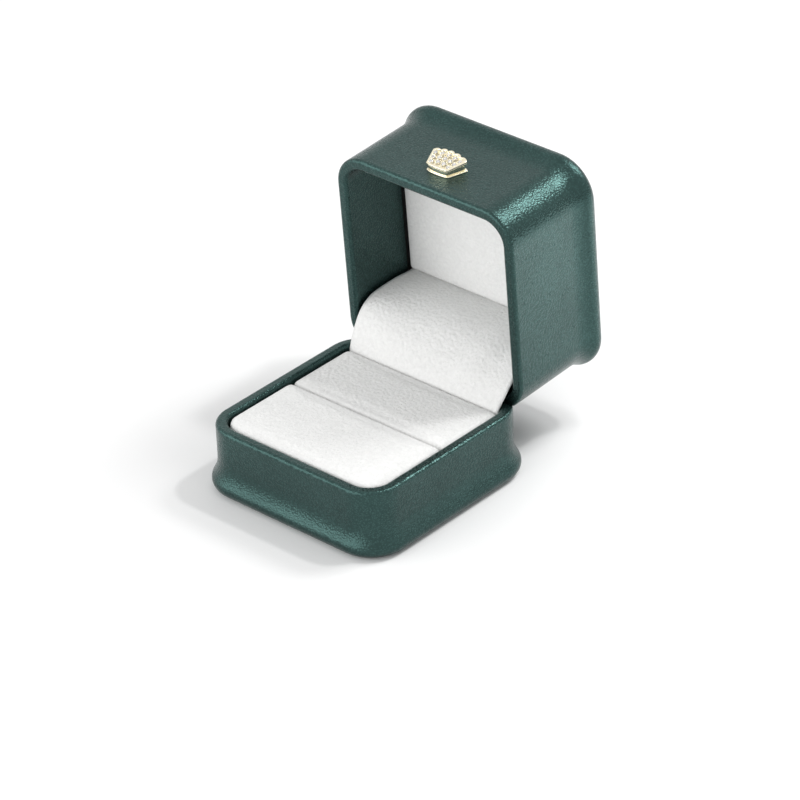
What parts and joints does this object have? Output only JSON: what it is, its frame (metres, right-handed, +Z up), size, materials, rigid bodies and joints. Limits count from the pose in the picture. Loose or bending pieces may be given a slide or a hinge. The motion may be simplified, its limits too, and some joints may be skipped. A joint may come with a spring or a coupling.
{
  "type": "ring box",
  "caption": "Small square leather-covered ring box with flared foot and lid, white padded insert with a ring slot, hinged lid standing open, and a gilt crown ornament on the lid.",
  "frame": {"origin": "centre of the felt pad under the base, on the surface that the box stands on", "axes": "+Z up, +X to the right along the hinge, -Y towards the front, which the open lid faces"},
  "size_m": [0.057, 0.0822, 0.0722],
  "materials": {
    "green_leather": "pearlescent dark green, fine pebble grain, satin",
    "shell_plastic": "moulded, matt",
    "dark_felt": "pressed felt",
    "grey_card": "raw grey board",
    "white_foam": "open-cell foam",
    "white_suede": "white microfibre suede, short nap",
    "hinge_steel": "plain rolled steel",
    "pale_gilt": "polished pale gilt casting",
    "clear_stone": "clear faceted paste stones"
  },
  "bodies": {
    "base": {"base_shell": "shell_plastic", "base_cover": "green_leather", "bottom_pad": "dark_felt", "cushion_board": "grey_card", "front_cushion_foam": "white_foam", "front_cushion_cover": "white_suede", "rear_cushion_foam": "white_foam", "rear_cushion_cover": "white_suede", "hinge_base_leaf": "hinge_steel", "hinge_base_rivets": "hinge_steel", "hinge_pin": "hinge_steel", "hinge_spring": "hinge_steel", "hinge_flap": "white_suede"},
    "lid": {"lid_shell": "shell_plastic", "lid_cover": "green_leather", "lid_panel_board": "grey_card", "lid_panel_foam": "white_foam", "lid_panel_cover": "white_suede", "hinge_lid_leaf": "hinge_steel", "hinge_lid_rivets": "hinge_steel", "crown_ornament": "pale_gilt", "crown_stones": "clear_stone", "crown_clips": "hinge_steel"}
  },
  "joints": [
    {"name": "lid_hinge", "type": "hinge", "parent": "base", "child": "lid", "pos_m": [0, 0.02405, 0.0171], "axis": [1, 0, 0], "range_deg": [0, 87], "deforming": ["hinge_flap"]}
  ]
}
